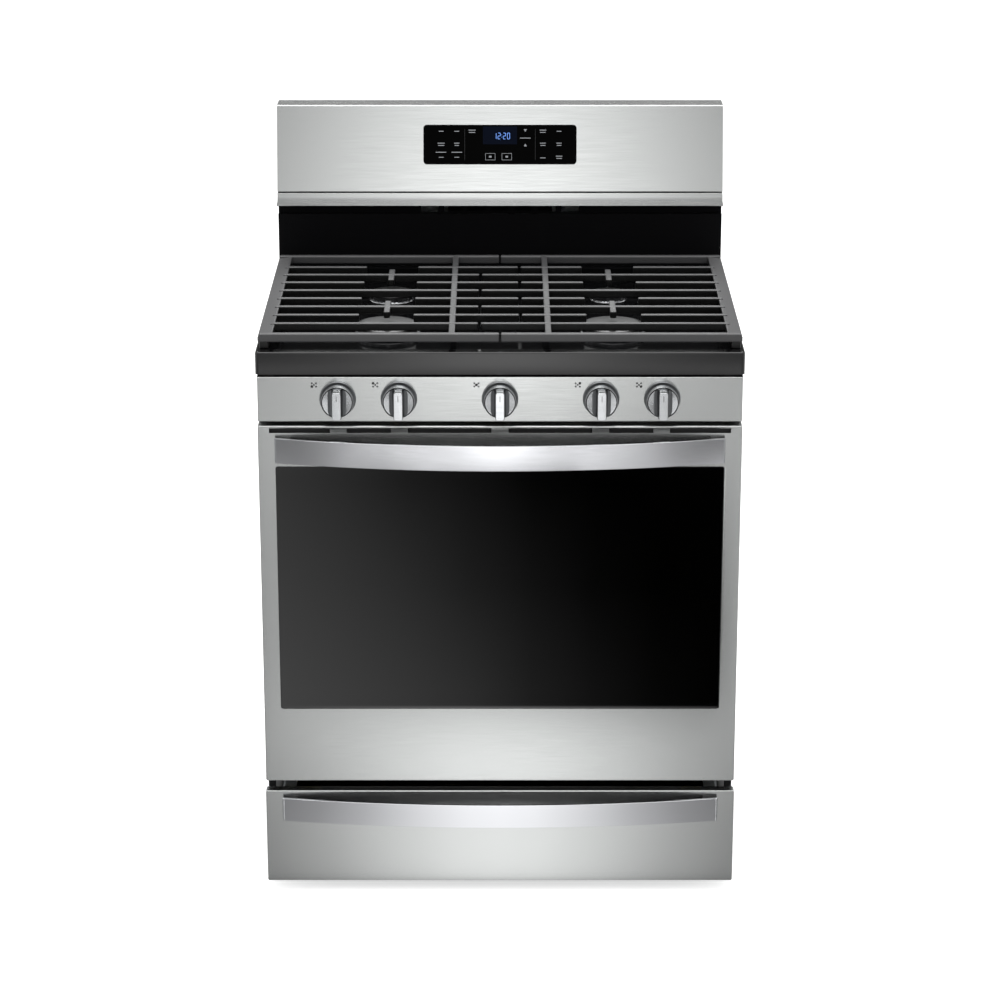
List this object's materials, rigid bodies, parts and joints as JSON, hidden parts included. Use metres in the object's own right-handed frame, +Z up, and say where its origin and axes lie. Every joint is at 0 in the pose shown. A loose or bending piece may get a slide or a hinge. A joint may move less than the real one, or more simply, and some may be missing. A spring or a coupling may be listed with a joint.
{
  "type": "freestanding gas range",
  "caption": "Freestanding gas range: oven with drop-down door and window, storage drawer, burners under cast grates, push-and-turn knobs and a raised backguard.",
  "frame": {"origin": "on the floor, under the middle of the range's overall box", "axes": "+Z up, -Y the front with the door and knobs, +X to the right of someone facing the front"},
  "size_m": [0.759, 0.715, 1.1825],
  "materials": {
    "stainless": "brushed",
    "polished_stainless": "polished",
    "black_enamel": "gloss",
    "grey_enamel": "gloss",
    "cast_iron": "matte",
    "aluminium": "satin",
    "black_glass": "gloss",
    "clear_glass": "gloss",
    "galvanised_steel": "satin",
    "plated_wire": "gloss",
    "brass": "satin",
    "rubber": "matte",
    "glass_fibre": "matte"
  },
  "bodies": {
    "root": {"backguard_shell": "stainless", "control_panel": "stainless", "cooktop": "black_enamel", "riser": "black_enamel", "side_panel_left": "black_enamel", "side_panel_right": "black_enamel", "oven_liner": "grey_enamel", "oven_floor": "grey_enamel", "oven_front_frame": "grey_enamel", "burner_cap_front_left": "cast_iron", "burner_cap_front_right": "cast_iron", "burner_cap_rear_left": "cast_iron", "burner_cap_rear_right": "cast_iron", "burner_cap_centre": "cast_iron", "burner_head_front_left": "aluminium", "burner_head_front_right": "aluminium", "burner_head_rear_left": "aluminium", "burner_head_rear_right": "aluminium", "burner_head_centre": "aluminium", "gas_manifold": "aluminium", "display_glass": "black_glass", "oven_lamp": "clear_glass", "rear_panel": "galvanised_steel", "backguard_rear_cover": "galvanised_steel", "base_frame": "galvanised_steel", "flue_duct": "galvanised_steel", "bake_burner": "galvanised_steel", "broil_burner": "galvanised_steel", "door_hinge_left": "galvanised_steel", "door_hinge_right": "galvanised_steel", "oven_rack_lower": "plated_wire", "oven_rack_upper": "plated_wire", "gas_regulator": "brass", "power_inlet": "rubber", "levelling_leg_front_left": "rubber", "levelling_leg_front_right": "rubber", "levelling_leg_rear_left": "rubber", "levelling_leg_rear_right": "rubber", "oven_insulation": "glass_fibre"},
    "door": {"door_skin": "stainless", "door_outer_glass": "black_glass", "door_inner_panel": "grey_enamel", "door_inner_glass": "clear_glass", "door_gasket": "rubber", "door_handle": "polished_stainless"},
    "drawer": {"drawer_front": "stainless", "drawer_box": "black_enamel", "drawer_handle": "polished_stainless"},
    "grate_left": {"grate_left": "cast_iron"},
    "grate_right": {"grate_right": "cast_iron"},
    "valve_stem_left_front": {"valve_stem_left_front": "aluminium"},
    "valve_stem_left_rear": {"valve_stem_left_rear": "aluminium"},
    "valve_stem_centre": {"valve_stem_centre": "aluminium"},
    "valve_stem_right_rear": {"valve_stem_right_rear": "aluminium"},
    "valve_stem_right_front": {"valve_stem_right_front": "aluminium"},
    "knob_left_front": {"knob_left_front": "stainless"},
    "knob_left_rear": {"knob_left_rear": "stainless"},
    "knob_centre": {"knob_centre": "stainless"},
    "knob_right_rear": {"knob_right_rear": "stainless"},
    "knob_right_front": {"knob_right_front": "stainless"}
  },
  "joints": [
    {"name": "door_hinge", "type": "hinge", "parent": "root", "child": "door", "pos_m": [0, -0.2765, 0.212], "axis": [1, 0, 0], "range_deg": [0, 90], "stiffness_Nm_per_rad": 12, "springref_deg": -20.05},
    {"name": "drawer_slide", "type": "slide", "parent": "root", "child": "drawer", "axis": [0, -1, 0], "range_m": [0, 0.42]},
    {"name": "grate_left_lift", "type": "hinge", "parent": "root", "child": "grate_left", "pos_m": [0, -0.0277, 0.939], "axis": [0, 1, 0], "range_deg": [0, 30]},
    {"name": "grate_right_lift", "type": "hinge", "parent": "root", "child": "grate_right", "pos_m": [0, -0.0277, 0.939], "axis": [0, -1, 0], "range_deg": [0, 30]},
    {"name": "push_left_front", "type": "slide", "parent": "root", "child": "valve_stem_left_front", "axis": [0, 1, 0], "range_m": [0, 0.004], "stiffness_N_per_m": 900, "springref_m": -0.002},
    {"name": "turn_left_front", "type": "hinge", "parent": "valve_stem_left_front", "child": "knob_left_front", "pos_m": [-0.252, -0.3025, 0.839], "axis": [0, -1, 0], "range_deg": [0, 240]},
    {"name": "push_left_rear", "type": "slide", "parent": "root", "child": "valve_stem_left_rear", "axis": [0, 1, 0], "range_m": [0, 0.004], "stiffness_N_per_m": 900, "springref_m": -0.002},
    {"name": "turn_left_rear", "type": "hinge", "parent": "valve_stem_left_rear", "child": "knob_left_rear", "pos_m": [-0.157, -0.3025, 0.839], "axis": [0, -1, 0], "range_deg": [0, 240]},
    {"name": "push_centre", "type": "slide", "parent": "root", "child": "valve_stem_centre", "axis": [0, 1, 0], "range_m": [0, 0.004], "stiffness_N_per_m": 900, "springref_m": -0.002},
    {"name": "turn_centre", "type": "hinge", "parent": "valve_stem_centre", "child": "knob_centre", "pos_m": [0, -0.3025, 0.839], "axis": [0, -1, 0], "range_deg": [0, 240]},
    {"name": "push_right_rear", "type": "slide", "parent": "root", "child": "valve_stem_right_rear", "axis": [0, 1, 0], "range_m": [0, 0.004], "stiffness_N_per_m": 900, "springref_m": -0.002},
    {"name": "turn_right_rear", "type": "hinge", "parent": "valve_stem_right_rear", "child": "knob_right_rear", "pos_m": [0.157, -0.3025, 0.839], "axis": [0, -1, 0], "range_deg": [0, 240]},
    {"name": "push_right_front", "type": "slide", "parent": "root", "child": "valve_stem_right_front", "axis": [0, 1, 0], "range_m": [0, 0.004], "stiffness_N_per_m": 900, "springref_m": -0.002},
    {"name": "turn_right_front", "type": "hinge", "parent": "valve_stem_right_front", "child": "knob_right_front", "pos_m": [0.252, -0.3025, 0.839], "axis": [0, -1, 0], "range_deg": [0, 240]}
  ]
}
